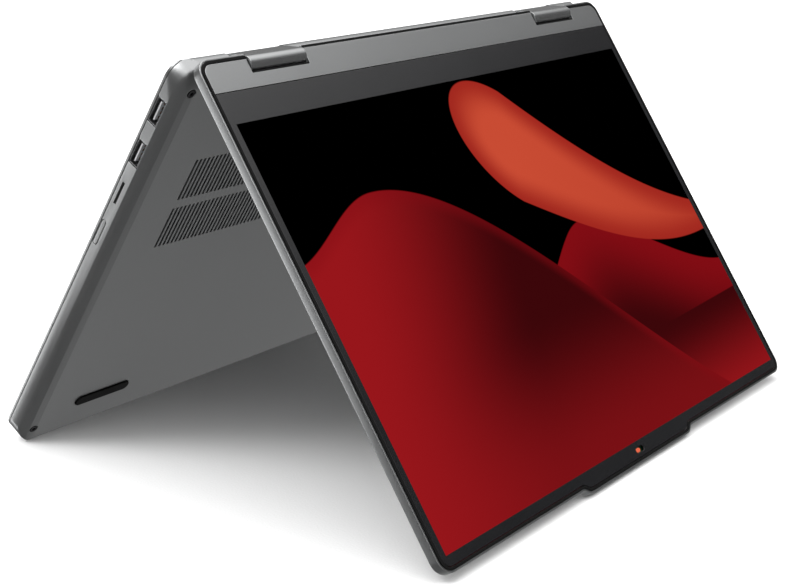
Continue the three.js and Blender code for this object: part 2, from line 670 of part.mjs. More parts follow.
// The back cover is a shallow tub. Its soft edge is made on the floor and turned over.
function lidBackCover() {
  const soft = softEdged(lidOutline(0), LID_THICKNESS - LIP_TOP, 1.4, 1.2, 2);
  const turned = soft.mirror([0, 0, 1]).translate([0, 0, LID_THICKNESS]);
  const surrounds = SIDES.map(([, sign]) => notchSurround(sign, LID_NOTCH_DEPTH));
  return cut(turned, [
    prism(lidOutline(LIP_WIDTH), [-1, RIM_TOP]),
    prism(lidOutline(GASKET.inner), [-1, STRIP_THICKNESS + GAP]),
    betweenHinges([-1, GLASS.inset], [-1, RIM_TOP]),
    betweenHinges([EDGE_SEAL.y[1], GLASS.inset], [-1, STRIP_THICKNESS + GAP]),
    cut(prism(lidOutline(GASKET.inner), [-1, lidFloor]), surrounds),
    ...lidNotches,
    ...SIDES.flatMap(([, sign]) => hingeClearance(sign, LID_AXIS_INSET, LID_AXIS_HEIGHT, LID_BRACKET)),
  ]);
}

// Between the hinges the strip reaches on to the edge seal.
const hingeStrip = cut(
  prism(lidOutline(GLASS.inset), [0, STRIP_THICKNESS])
    .add(betweenHinges([EDGE_SEAL.y[1] + GAP, GLASS.inset + 1], [0, STRIP_THICKNESS])),
  [block([-FAR, FAR], [STRIP_DEPTH, FAR], [-1, FAR]), ...lidNotches],
);
const edgeSeal = betweenHinges(EDGE_SEAL.y, EDGE_SEAL.z);

// The privacy shutter slides in a slot of the glass, over the camera lens.
const SHUTTER = { width: 3.4, depth: 2, travel: 3, y: SCREEN_INSET + 192.6, z: [0.1, 0.8] };
const shutterSlot = prism(
  pill(
    [-SHUTTER.width / 2 - GAP, SHUTTER.width / 2 + SHUTTER.travel + GAP],
    around(SHUTTER.y, SHUTTER.depth + 2 * GAP),
  ),
  [-1, 2],
  4,
);
const shutter = prism(pill(around(0, SHUTTER.width), around(SHUTTER.y, SHUTTER.depth)), SHUTTER.z, 4);

const beyond = (edge) => block([-FAR, FAR], [edge, FAR], [-FAR, FAR]);
const displayGlass = prism(lidOutline(GLASS.inset), GLASS.z).intersect(beyond(glassEdge));

// The gasket is open along the hinge edge, between the outer ends of the notches.
const gasketOpening = block(around(0, 2 * NOTCH_OUTER), [-1, LID_NOTCH_DEPTH], [-1, 2]);
const gasketRing = cut(prism(lidOutline(GASKET.outer), GASKET.z), [
  prism(lidOutline(GASKET.inner), [-1, 2]),
  gasketOpening,
]);

const PANEL = { grow: 1.2, z: [GLASS.z[1] + GAP, 3.4] };
const panel = block(
  around(0, SCREEN_WIDTH + 2 * PANEL.grow - 1),
  [SCREEN_INSET - 8, SCREEN_INSET + SCREEN_DEPTH + PANEL.grow],
  PANEL.z,
);

const CAMERA = { width: 62, y: [219.6, 224.2], z: [2.2, lidFloor - GAP] };
const cameraModule = block(around(0, CAMERA.width), CAMERA.y, CAMERA.z);
const cameraLens = rodAlongZ(1.5, 0, SHUTTER.y, [GLASS.z[1] + GAP, CAMERA.z[0] - GAP]);

// A ribbon that steps down from the back of the panel to the hinge edge.
function displayCable() {
  const profile = new THREE.Shape();
  profile.moveTo(10, 1.5);
  profile.lineTo(16, 1.5);
  profile.lineTo(19, 3.7);
  profile.lineTo(40, 3.7);
  profile.lineTo(40, 3.95);
  profile.lineTo(18.8, 3.95);
  profile.lineTo(15.8, 1.8);
  profile.lineTo(10, 1.8);
  return prismAlongX(profile, [-46, -24]);
}

addPart(lid, 'lid_back_cover', lidBackCover(), 'shell');
addPart(lid, 'hinge_strip_cover', hingeStrip, 'shell');
addPart(lid, 'display_glass', displayGlass.subtract(shutterSlot), 'glass');
addPart(lid, 'glass_gasket', gasketRing, 'rubber');
addPart(lid, 'hinge_edge_seal', edgeSeal, 'rubber');
addPart(lid, 'display_panel', panel, 'screen');
addPart(lid, 'camera_module', cameraModule, 'board');
addPart(lid, 'camera_lens', cameraLens, 'glass');
addPart(lid, 'privacy_shutter', shutter, 'marker');
addPart(lid, 'display_cable', displayCable(), 'plastic');
for (const [side, sign] of SIDES) {
  addPart(lid, `antenna_${side}`, block(outward(sign, 52, 60), [4.5, 14], [1.4, 2.6]), 'copper');
}

// ---------------------------------------------------------------- tent pose

// Turns a leg and moves it until its own hinge axis lies where the link wants it.
function hangLeg(leg, angle, axisInset, axisHeight, y) {
  leg.rotation.x = THREE.MathUtils.degToRad(angle);
  const axis = new THREE.Vector3(0, axisInset, axisHeight).applyEuler(leg.rotation);
  leg.position.set(0, y, 0).sub(axis);
}

hangLeg(base, TENT_ANGLE / 2 - 90, BASE_AXIS_INSET, BASE_AXIS_HEIGHT, AXIS_SPACING / 2);
hangLeg(lid, -TENT_ANGLE / 2 - 90, LID_AXIS_INSET, LID_AXIS_HEIGHT, -AXIS_SPACING / 2);
link.rotation.x = Math.PI / 2;
link.position.y = AXIS_SPACING / 2;

function lowestPoint(leg) {
  const lowest = new THREE.Vector3(0, 0, Infinity);
  const point = new THREE.Vector3();
  leg.traverse((mesh) => {
    if (!mesh.isMesh) return;
    const positions = mesh.geometry.attributes.position;
    for (let i = 0; i < positions.count; i += 1) {
      point.fromBufferAttribute(positions, i).applyMatrix4(mesh.matrixWorld);
      if (point.z < lowest.z) lowest.copy(point);
    }
  });
  return lowest;
}

// Tips the tent until both free edges touch the floor. A rounded edge rolls as it tips, so it
// takes a few steps.
for (let step = 0; step < 3; step += 1) {
  tent.updateMatrixWorld(true);
  const slope = lowestPoint(base).sub(lowestPoint(lid));
  tent.rotation.x -= Math.atan2(slope.z, slope.y);
}
tent.updateMatrixWorld(true);
const extent = new THREE.Box3().setFromObject(tent, true);
tent.position.set(0, -(extent.min.y + extent.max.y) / 2, -extent.min.z);

const laptop = new THREE.Group();
laptop.add(tent);

export default laptop;
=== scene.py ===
"""A 14-inch convertible laptop computer standing in tent mode on a pale studio floor.

The pieces are measured in millimetres, which MM turns into metres. The camera, the lights and the materials
are in metres. A leg's own frame has x across the laptop, y away from the hinge and z through its thickness:
from the bottom to the deck in the base, and from the glass to the back in the lid.
"""

import json
import math

import bmesh
import bpy
from mathutils import Matrix, Vector


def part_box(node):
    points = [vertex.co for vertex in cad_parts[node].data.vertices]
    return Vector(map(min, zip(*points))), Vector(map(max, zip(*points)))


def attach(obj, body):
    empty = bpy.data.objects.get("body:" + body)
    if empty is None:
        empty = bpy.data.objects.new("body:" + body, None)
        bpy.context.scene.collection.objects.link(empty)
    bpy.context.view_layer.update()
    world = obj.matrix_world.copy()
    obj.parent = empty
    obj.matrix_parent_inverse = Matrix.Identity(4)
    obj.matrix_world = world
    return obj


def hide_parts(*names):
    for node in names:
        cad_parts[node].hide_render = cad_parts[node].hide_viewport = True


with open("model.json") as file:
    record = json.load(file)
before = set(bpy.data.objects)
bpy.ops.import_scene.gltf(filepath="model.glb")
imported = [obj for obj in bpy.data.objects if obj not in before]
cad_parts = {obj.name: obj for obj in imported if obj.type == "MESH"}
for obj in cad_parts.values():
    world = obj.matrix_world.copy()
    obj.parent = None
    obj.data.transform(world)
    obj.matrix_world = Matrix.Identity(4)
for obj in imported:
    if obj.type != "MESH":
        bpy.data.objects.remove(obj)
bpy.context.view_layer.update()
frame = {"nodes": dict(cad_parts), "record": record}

MM = 0.001

# ---------------------------------------------------------------- driving dimensions

SCREEN_WIDTH = 301.6
SCREEN_DEPTH = 188.5
SCREEN_INSET = 29.3  # from the lid's hinge edge
REAR_FOOT = (0, 30, -0.7)  # where the mount of the rear foot is, in the base's own frame
LID_BACK = (0, 112, 5.2)  # where the mount of the lid's back is, in the lid's own frame
# One half's piece in its leg's own frame. The other half has it mirrored in x.
# Painted shade: a black sheet in the lid's notch that stands in for the shadow there.
NOTCH_SHADE_SHEET = {"x": (91.4, 127.6), "y": (8.15, 8.98), "z": (0.15, 4.6)}
# Painted shade: a black sheet behind the air intakes that stands in for the shadow inside them.
VENT_SHADE_SHEET = {"x": (46.0, 127.0), "y": (50.0, 106.0), "z": (1.46, 1.60)}  # just inside the bottom's plate
GLASS_EDGE = 0.15
LINK_EDGE = 0.35
SHADE_SHEET_EDGE = 0.08
SCREW_RADIUS = 2.0
CAP_HEIGHT = 2.2
CAP_CORNER = 1.3

WELD = 0.002  # points nearer than this are one point
FLAT_BELOW = math.radians(0.05)
SMOOTH_BELOW = math.radians(35)
CRISP_ABOVE = math.radians(40)

# ---------------------------------------------------------------- the legs' own frames


def mount(name):
    return next(m for m in frame["record"]["mounts"] if m["name"] == name)


def leg_frame(mount_name, local, facing):
    """The matrix from a leg's own frame in millimetres to the row frame in metres. The mount lies at the
    point local and faces along the leg's z, or against it where facing is -1."""
    spot = mount(mount_name)
    across = Vector((1, 0, 0))
    through = Vector(spot["axis"]).normalized() * facing
    along = through.cross(across)
    turn = Matrix((across, along, through)).transposed()
    origin = Vector(spot["pos_m"]) - turn @ Vector(local) * MM
    return Matrix.Translation(origin) @ turn.to_4x4() @ Matrix.Scale(MM, 4)


BASE = leg_frame("rear_foot_face", REAR_FOOT, -1)
LID = leg_frame("lid_back_face", LID_BACK, 1)

# ---------------------------------------------------------------- camera, floor and light

PHOTO_FOCAL = 72.0  # mm, on a sensor 36 mm wide
CAMERA_AT = Vector((-0.6077, -0.4417, 0.2759))
HEADING = math.radians(53.11)  # clockwise from +Y, seen from above
PITCH = math.radians(-16.05)
ROLL = math.radians(-0.13)
LIGHT_TARGET = Vector((0, 0, 0.1))
FLOOR_SIZE = 14
WALL_LIGHT = 0.12
CEILING_LIGHT = 2.3
# Lit panels of the room: the way to the middle, the angles from it where the light starts to fade and
# where it ends, and its strength.
PANELS = [
    ((-0.40, 0.875, -0.27), 10, 19, 3.6),
    ((0.65, 0.45, -0.60), 10, 53, 0.36),
]


def add_camera():
    data = bpy.data.cameras.new("camera")
    data.lens = PHOTO_FOCAL
    data.sensor_width = 36
    camera = bpy.data.objects.new("camera", data)
    bpy.context.scene.collection.objects.link(camera)
    turn = Matrix.Rotation(-HEADING, 4, "Z") @ Matrix.Rotation(math.pi / 2 + PITCH, 4, "X")
    camera.matrix_world = Matrix.Translation(CAMERA_AT) @ turn @ Matrix.Rotation(-ROLL, 4, "Z")
    bpy.context.scene.camera = camera


def add_softbox(name, at, size, power):
    data = bpy.data.lights.new(name, "AREA")
    data.shape = "RECTANGLE"
    data.size, data.size_y = size
    data.energy = power
    light = bpy.data.objects.new(name, data)
    bpy.context.scene.collection.objects.link(light)
    light.visible_camera = False
    light.location = at
    light.rotation_euler = (LIGHT_TARGET - Vector(at)).to_track_quat("-Z", "Y").to_euler()


def add_dome():
    """A white room: a bright ceiling, dim walls, and two lit panels that the metal reflects from below and
    beside it. The camera sees it as plain white."""
    world = bpy.data.worlds.new("studio")
    g = Graph(world)
    direction = g.node("TexCoord").outputs["Generated"]
    parts = g.node("SeparateXYZ")
    g.feed(parts.inputs[0], direction)
    light = g.spread(parts.outputs["Z"], 0.36, 0.80, WALL_LIGHT, CEILING_LIGHT)
    for towards, full, end, strength in PANELS:
        dot = g.node("VectorMath", operation="DOT_PRODUCT")
        g.feed(dot.inputs[0], direction)
        dot.inputs[1].default_value = Vector(towards).normalized()
        fade = (math.cos(math.radians(end)), math.cos(math.radians(full)))
        light = light + g.spread(dot.outputs["Value"], *fade, 0.0, strength)
    seen = g.node("LightPath").outputs["Is Camera Ray"]
    background = g.tree.nodes["Background"]
    g.feed(background.inputs["Strength"], light * (1 - Number(g, seen)) + Number(g, seen))
    background.inputs["Color"].default_value = (1, 1, 1, 1)
    bpy.context.scene.world = world


def add_studio():
    add_dome()
    bpy.context.scene.view_settings.view_transform = "Standard"
    add_softbox("key", (-1.3, 0.7, 1.8), (1.0, 1.0), 20)
    add_softbox("fill", (-1.7, -1.0, 1.0), (1.2, 0.8), 2)
    add_softbox("back", (0.6, 1.9, 1.2), (1.2, 0.8), 12)


def add_floor():
    bm = bmesh.new()
    bmesh.ops.create_grid(bm, x_segments=1, y_segments=1, size=FLOOR_SIZE / 2)
    mesh = bpy.data.meshes.new("floor")
    bm.to_mesh(mesh)
    bm.free()
    floor = bpy.data.objects.new("floor", mesh)
    bpy.context.scene.collection.objects.link(floor)
    mesh.materials.append(floor_paper())
    floor.visible_glossy = False  # the metal reflects the room below, not a white sheet


# ---------------------------------------------------------------- shader graphs


class Graph:
    """The nodes of a world or a material, with short calls for the ones used here."""

    def __init__(self, owner):
        owner.use_nodes = True
        self.tree = owner.node_tree

    def node(self, kind, **settings):
        made = self.tree.nodes.new("ShaderNode" + kind)
        for name, value in settings.items():
            setattr(made, name, value)
        return made

    def feed(self, socket, value):
        if isinstance(value, Number):
            value = value.socket
        if isinstance(value, bpy.types.NodeSocket):
            self.tree.links.new(value, socket)
        else:
            socket.default_value = value

    def math(self, operation, *values, clamp=False):
        made = self.node("Math", operation=operation, use_clamp=clamp)
        for socket, value in zip(made.inputs, values):
            self.feed(socket, value)
        return Number(self, made.outputs[0])

    def spread(self, value, low, high, out_low, out_high):
        made = self.node("MapRange", interpolation_type="SMOOTHSTEP")
        for socket, number in zip(made.inputs, (value, low, high, out_low, out_high)):
            self.feed(socket, number)
        return Number(self, made.outputs[0])


class Paint(Graph):
    """A material's nodes, with its Principled shader. Patterns are laid out in the object's own space."""

    def __init__(self, name):
        self.material = bpy.data.materials.new(name)
        super().__init__(self.material)
        self.shader = self.tree.nodes["Principled BSDF"]
        self.place = self.node("TexCoord").outputs["Object"]

    def set(self, **inputs):
        """Sets the shader's own sockets: base_color=..., roughness=... and so on."""
        for name, value in inputs.items():
            socket = next(s for s in self.shader.inputs if s.name.lower().replace(" ", "_") == name)
            self.feed(socket, value)

    def mix(self, factor, first, second):
        """A blend of two colours. The node's sockets 6 and 7 and its output 2 are the ones for colour."""
        made = self.node("Mix", data_type="RGBA")
        self.feed(made.inputs["Factor"], factor)
        self.feed(made.inputs[6], first)
        self.feed(made.inputs[7], second)
        return made.outputs[2]

    def noise(self, scale, detail=3.0, stretch=None):
        vector = self.place
        if stretch:
            mapping = self.node("Mapping")
            self.feed(mapping.inputs["Vector"], vector)
            mapping.inputs["Scale"].default_value = stretch
            vector = mapping.outputs[0]
        made = self.node("TexNoise")
        self.feed(made.inputs["Vector"], vector)
        made.inputs["Scale"].default_value = scale
        made.inputs["Detail"].default_value = detail
        return Number(self, made.outputs["Fac"])

    def bump(self, height, depth):
        """Sets the surface's fine relief. depth is in metres."""
        made = self.node("Bump")
        made.inputs["Distance"].default_value = depth
        self.feed(made.inputs["Height"], height)
        self.feed(self.shader.inputs["Normal"], made.outputs[0])

    def edges(self, radius):
        """1 on edges and 0 on flat faces; the materials lighten edges with it, partly as wear and partly as a
        painted highlight. radius is in metres.
        """
        bevel = self.node("Bevel", samples=4)
        bevel.inputs["Radius"].default_value = radius
        flat = self.node("NewGeometry").outputs["Normal"]
        dot = self.node("VectorMath", operation="DOT_PRODUCT")
        self.feed(dot.inputs[0], bevel.outputs[0])
        self.feed(dot.inputs[1], flat)
        return self.spread(dot.outputs["Value"], 0.995, 0.9, 0.0, 1.0)


class Number:
    """A number that a shader graph works out at each point."""

    def __init__(self, graph, socket):
        self.graph = graph
        self.socket = socket

    def __add__(self, other):
        return self.graph.math("ADD", self, other)

    def __sub__(self, other):
        return self.graph.math("SUBTRACT", self, other)

    def __mul__(self, other):
        return self.graph.math("MULTIPLY", self, other)

    def __rsub__(self, other):
        return self.graph.math("SUBTRACT", other, self)


def shade(colour, factor):
    return tuple(min(1.0, c * factor) for c in colour[:3]) + (1.0,)


# ---------------------------------------------------------------- materials


def floor_paper():
    g = Paint("floor_paper")
    g.set(base_color=g.mix(g.noise(3), (0.9, 0.9, 0.9, 1), (0.93, 0.93, 0.93, 1)), roughness=0.9)
    g.bump(g.noise(900), 0.0001)
    return g.material


def blasted_metal(name, colour, roughness):
    """Bead-blasted, anodised aluminium: fine sparkle, soft cloudy patches, and brighter edges that are partly
    wear and partly a painted highlight.
    """
    g = Paint(name)
    clouds = g.noise(14, detail=4)
    sparkle = g.noise(5200, detail=1)
    body = g.mix(clouds, shade(colour, 0.93), shade(colour, 1.07))
    grained = g.mix(g.spread(sparkle, 0.3, 0.7, 0.0, 0.35), body, shade(colour, 1.3))
    # The edges are lighter in the colour: partly wear, partly a painted highlight.
    worn_and_highlit = g.mix(g.edges(0.0004) * 0.6, grained, shade(colour, 2.3))
    g.set(base_color=worn_and_highlit, metallic=0.88)
    g.set(roughness=clouds * 0.08 + (roughness - 0.04))
    g.bump(sparkle + g.noise(1800) * 0.5, 0.000012)
    return g.material


def moulded(name, colour, roughness, grain=2600, depth=0.00002, gloss=0.5):
    """Moulded plastic or rubber with an even, spark-eroded grain."""
    g = Paint(name)
    clouds = g.noise(22)
    relief = g.noise(grain, detail=2)
    body = g.mix(clouds, shade(colour, 0.88), shade(colour, 1.12))
    # The edges are lighter in the colour: partly wear, partly a painted highlight.
    g.set(base_color=g.mix(g.edges(0.0004) * 0.3, body, shade(colour, 1.7)))
    g.set(roughness=g.spread(clouds + relief * 0.3, 0.4, 0.9, roughness - 0.08, roughness + 0.08))
    g.set(specular_ior_level=gloss)
    g.bump(relief, depth)
    return g.material


def key_plastic():
    """Keycaps: matte grain, polished a little where fingers land."""
    g = Paint("key_plastic")
    colour = (0.028, 0.030, 0.033)
    touch = g.noise(48, detail=2)
    relief = g.noise(3400, detail=2)
    body = g.mix(g.noise(150), shade(colour, 0.9), shade(colour, 1.15))
    # The edges are lighter in the colour: partly wear, partly a painted highlight.
    g.set(base_color=g.mix(g.edges(0.0005) * 0.4, body, shade(colour, 2.2)))
    g.set(roughness=g.spread(touch, 0.35, 0.65, 0.45, 0.62))
    g.bump(relief, 0.00002)
    return g.material


def brushed(name, colour, roughness=0.32):
    """Stamped metal with brushing lines along the laptop's width."""
    g = Paint(name)
    lines = g.noise(5200, detail=3, stretch=(0.02, 1, 1))
    stains = g.noise(60)
    body = g.mix(lines, shade(colour, 0.8), shade(colour, 1.15))
    g.set(base_color=g.mix(stains * 0.25, body, shade(colour, 0.7)), metallic=1.0)
    g.set(roughness=g.spread(lines, 0.3, 0.7, roughness - 0.08, roughness + 0.1))
    g.bump(lines, 0.00002)
    return g.material


def solder_mask():
    """A circuit board: copper tracks showing faintly under green lacquer."""
    g = Paint("solder_mask")
    tracks = g.node("TexBrick")
    g.feed(tracks.inputs["Vector"], g.place)
    tracks.inputs["Scale"].default_value = 420
    tracks.inputs["Mortar Size"].default_value = 0.06
    green = g.mix(g.noise(30), (0.006, 0.045, 0.022, 1), (0.010, 0.065, 0.034, 1))
    g.set(base_color=g.mix(tracks.outputs["Fac"], green, (0.03, 0.13, 0.06, 1)))
    g.set(roughness=g.spread(g.noise(200), 0.3, 0.7, 0.3, 0.45))
    g.bump(tracks.outputs["Fac"], 0.00003)
    return g.material


def border_glass():
    """Cover glass over black print: very smooth, with faint wiping marks."""
    g = Paint("border_glass")
    smears = g.noise(26, detail=5, stretch=(1, 0.4, 1))
    g.set(base_color=g.mix(smears, (0.006, 0.006, 0.007, 1), (0.012, 0.012, 0.013, 1)))
    g.set(roughness=g.spread(smears, 0.35, 0.7, 0.05, 0.11))
    g.bump(g.noise(70, detail=1), 0.000004)
    return g.material


def satin_pad():
    """The touchpad's etched glass."""
    g = Paint("satin_pad")
    colour = (0.20, 0.205, 0.21)
    rub = g.noise(34, detail=4)
    g.set(base_color=g.mix(rub, shade(colour, 0.98), shade(colour, 1.02)))
    g.set(roughness=g.spread(rub, 0.2, 0.8, 0.29, 0.34), metallic=0.25)
    g.bump(g.noise(4200, detail=1), 0.000006)
    return g.material


# ---------------------------------------------------------------- the picture on the screen

BLACK = (0.0, 0.0, 0.0, 1)
DEEP_RED = (0.045, 0.002, 0.003, 1)
RED = (0.22, 0.004, 0.007, 1)
BRIGHT_RED = (0.31, 0.008, 0.011, 1)
ORANGE = (0.58, 0.072, 0.034, 1)
DARK_ORANGE = (0.36, 0.022, 0.014, 1)


def screen_coordinates(g):
    """u runs across the screen from its middle and v down it from the hinge, both in screen heights."""
    across = g.node("SeparateXYZ")
    g.feed(across.inputs[0], g.place)
    down_axis = LID.to_3x3() @ Vector((0, 1, 0)) / MM
    start = LID @ Vector((0, SCREEN_INSET, 0))
    down = g.node("VectorMath", operation="DOT_PRODUCT")
    g.feed(down.inputs[0], g.place)
    down.inputs[1].default_value = down_axis
    height = SCREEN_DEPTH * MM
    u = Number(g, across.outputs["X"]) * (1 / height)
    v = (Number(g, down.outputs["Value"]) - start.dot(down_axis)) * (1 / height)
    return u, v


def taper(g, u, v, start, end, radii):
    """How far inside a rounded, tapering stroke a point is, and how far along it."""
    run = Vector(end) - Vector(start)
    du = u - start[0]
    dv = v - start[1]
    along = g.math("MULTIPLY", du * run.x + dv * run.y, 1 / run.length_squared, clamp=True)
    gap_u = du - along * run.x
    gap_v = dv - along * run.y
    distance = g.math("SQRT", gap_u * gap_u + gap_v * gap_v)
    radius = along * (radii[1] - radii[0]) + radii[0]
    return radius - distance, along


def abstract_picture():
    """Smooth dunes in red and one orange stroke on black, lit like folded paper."""
    g = Paint("screen_picture")
    u, v = screen_coordinates(g)
    half_blur = 0.002

    def inside(depth):
        return g.spread(depth, -half_blur, half_blur, 0.0, 1.0)

    near_edge = g.spread(u, -0.50, 0.95, 0.22, 1.18) + g.spread(u, -0.85, -0.50, 0.12, 0.0)
    far_edge = g.spread(u, -0.3, 0.30, 0.70, 0.42) + g.spread(u, 0.15, 0.85, 0.0, 0.26)
    bowl_depth = taper(g, u, v, (0.28, 1.12), (0.95, 1.16), (0.34, 0.40))[0]
    bent_v = v - g.math("SINE", u * 2.6) * 0.16
    stroke_depth, stroke_along = taper(g, u, bent_v, (0.10, 0.16), (0.92, 0.44), (0.18, 0.02))

    far = g.mix(g.spread(v - far_edge, 0.0, 0.30, 0.0, 1.0), RED, DEEP_RED)
    valley = g.spread(u + v * 0.30, -0.62, 0.05, 0.0, 1.0) * g.spread(v, 0.62, 1.0, 1.0, 0.45)
    slope = g.mix(valley, BRIGHT_RED, DEEP_RED)
    near = g.mix(g.spread(v - near_edge, 0.0, 0.05, 0.6, 1.0), RED, slope)
    bowl = g.mix(g.spread(bowl_depth, 0.0, 0.30, 0.0, 1.0), DEEP_RED, BRIGHT_RED)
    stroke = g.mix(g.spread(stroke_depth, 0.0, 0.10, 0.0, 1.0), DARK_ORANGE, ORANGE)
    lit_stroke = g.mix(stroke_along * 0.45, stroke, DARK_ORANGE)

    picture = g.mix(inside(v - far_edge), BLACK, far)
    picture = g.mix(inside(bowl_depth), picture, bowl)
    picture = g.mix(inside(v - near_edge), picture, near)
    picture = g.mix(inside(stroke_depth), picture, lit_stroke)
    g.set(base_color=(0, 0, 0, 1), emission_color=picture, emission_strength=1.0)
    g.set(roughness=g.spread(g.noise(26), 0.35, 0.7, 0.06, 0.10), specular_ior_level=0.0)
    return g.material


SHELL_COLOUR = (0.262, 0.266, 0.268)

MATERIALS = {
    "shell": blasted_metal("blasted_shell", SHELL_COLOUR, 0.31),
    "rubber": moulded("black_rubber", (0.005, 0.005, 0.005), 0.62, gloss=0.1),
    "glass": border_glass(),
    "screen": abstract_picture(),
    "keycap": key_plastic(),
    "pad": satin_pad(),
    "steel": brushed("stamped_steel", (0.40, 0.40, 0.41)),
    "plastic": moulded("black_plastic", (0.016, 0.016, 0.018), 0.5),
    "board": solder_mask(),
    "copper": brushed("copper", (0.52, 0.22, 0.10), 0.26),
    "marker": moulded("marker_paint", (0.66, 0.10, 0.04), 0.42, grain=1800),
}
HINGE_METAL = blasted_metal("hinge_metal", shade(SHELL_COLOUR, 1.15), 0.24)
TONGUE_NYLON = moulded("tongue_nylon", (0.34, 0.34, 0.35), 0.5)
# Painted shade: steel made near-black, so the screw heads and port springs look as dark as the shaded hollows
# they sit in.
SHADE_BLACK_STEEL = brushed("black_oxide", (0.035, 0.035, 0.038), 0.38)
PORT_DARK = moulded("port_black", (0.006, 0.006, 0.006), 0.7, gloss=0.1)
# Painted shade: the near-black of the sheet behind the air intakes.
VENT_SHADE_BLACK = moulded("filter_cloth", (0.004, 0.004, 0.004), 0.9, grain=1600, depth=0.0001, gloss=0.1)
SLOT_OF = {part["node"]: part["material_slot"] for part in frame["record"]["subparts"]}
BODY_OF = {node: body for body, nodes in frame["record"]["behaviour"]["bodies"].items() for node in nodes}

# ---------------------------------------------------------------- pieces


def add_piece(name, bm, node, materials=None, replaces=True):
    """Makes an object of bm that rides with a CAD node's body, and stands for that node if it replaces it."""
    mesh = bpy.data.meshes.new(name)
    bm.to_mesh(mesh)
    bm.free()
    for material in materials or [MATERIALS[SLOT_OF[node]]]:
        mesh.materials.append(material)
    mesh.shade_smooth()
    mesh.set_sharp_from_angle(angle=SMOOTH_BELOW)
    piece = bpy.data.objects.new(name, mesh)
    bpy.context.scene.collection.objects.link(piece)
    normals = piece.modifiers.new("even_normals", "WEIGHTED_NORMAL")
    normals.keep_sharp = True
    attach(piece, BODY_OF[node])
    if replaces:
        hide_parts(node)


def cad_copy(node):
    """A CAD node's solid as one connected skin, in the row frame."""
    bm = bmesh.new()
    bm.from_mesh(frame["nodes"][node].data)
    bmesh.ops.remove_doubles(bm, verts=bm.verts, dist=WELD * MM)
    return bm


def break_edges(bm, radius):
    """Rounds every crisp edge, and keeps the solid inside the box that it had."""
    low, high = extent(bm)
    crisp = [e for e in bm.edges if e.is_manifold and e.calc_face_angle(0) > CRISP_ABOVE]
    bmesh.ops.bevel(
        bm,
        geom=crisp,
        offset=radius * MM,
        offset_type="OFFSET",
        segments=2,
        profile=0.5,
        affect="EDGES",
        clamp_overlap=False,
    )
    for vert in bm.verts:
        vert.co = Vector(min(max(c, a), b) for c, a, b in zip(vert.co, low, high))


def extent(bm):
    corners = list(zip(*(v.co for v in bm.verts)))
    return Vector(min(c) for c in corners), Vector(max(c) for c in corners)


def even_triangles(bm):
    """Swaps the diagonals of flat areas, so that fewer triangles are too thin to carry a rounded edge."""
    flat = [e for e in bm.edges if e.is_manifold and e.calc_face_angle(0) < FLAT_BELOW]
    bmesh.ops.beautify_fill(bm, faces=bm.faces, edges=flat)


def refine(node, radius):
    bm = cad_copy(node)
    even_triangles(bm)
    break_edges(bm, radius)
    add_piece(f"{node}_fine", bm, node)


# Pieces whose CAD shape is right and only wants broken edges, with the radius of those edges.
FINE_PIECES = {
    "bottom_cover": 0.12,
    "keyboard_deck": 0.12,
    "lid_back_cover": 0.12,
    "hinge_strip_cover": 0.15,
    "front_foot_right": 0.22,
    "front_foot_left": 0.22,
    "rear_foot_strip": 0.22,
    "glass_gasket": 0.08,
    "hinge_edge_seal": 0.08,
    "touchpad": 0.15,
    "power_button": 0.2,
    "privacy_shutter": 0.12,
    "microsd_slot": 0.1,
    "audio_jack": 0.12,
}


def add_display():
    """The cover glass. Its front carries the picture inside a printed black border."""
    bm = cad_copy("display_glass")
    break_edges(bm, GLASS_EDGE)
    bm.transform(LID.inverted())
    sides = [
        (Vector((-SCREEN_WIDTH / 2, 0, 0)), Vector((1, 0, 0))),
        (Vector((SCREEN_WIDTH / 2, 0, 0)), Vector((1, 0, 0))),
        (Vector((0, SCREEN_INSET, 0)), Vector((0, 1, 0))),
        (Vector((0, SCREEN_INSET + SCREEN_DEPTH, 0)), Vector((0, 1, 0))),
    ]
    for point, direction in sides:
        everything = bm.verts[:] + bm.edges[:] + bm.faces[:]
        bmesh.ops.bisect_plane(bm, geom=everything, plane_co=point, plane_no=direction)
    bm.normal_update()
    for face in bm.faces:
        middle = face.calc_center_median()
        lit = abs(middle.x) < SCREEN_WIDTH / 2 and 0 < middle.y - SCREEN_INSET < SCREEN_DEPTH
        face.material_index = 1 if lit and face.normal.z < -0.9 else 0
    bm.transform(LID)
    add_piece("display_glass_fine", bm, "display_glass", [MATERIALS["glass"], MATERIALS["screen"]])


# ---------------------------------------------------------------- keycaps


def rounded_ring(x, y, radius, z, steps=6):
    """Points round a rounded rectangle at height z."""
    ring = []
    corners = [(x[1], y[0], -90), (x[1], y[1], 0), (x[0], y[1], 90), (x[0], y[0], 180)]
    for corner_x, corner_y, start in corners:
        centre_x = corner_x + (radius if corner_x == x[0] else -radius)
        centre_y = corner_y + (radius if corner_y == y[0] else -radius)
        for step in range(steps + 1):
            angle = math.radians(start + 90 * step / steps)
            ring.append((centre_x + radius * math.cos(angle), centre_y + radius * math.sin(angle), z))
    return ring


def shrink(span, by):
    return (span[0] + by, span[1] - by)


def loft(bm, rings):
    """Joins rings of points into one closed skin."""
    loops = [[bm.verts.new(point) for point in ring] for ring in rings]
    count = len(loops[0])
    for lower, upper in zip(loops, loops[1:]):
        for i in range(count):
            j = (i + 1) % count
            bm.faces.new((lower[i], lower[j], upper[j], upper[i]))
    bm.faces.new(reversed(loops[0]))
    bm.faces.new(loops[-1])


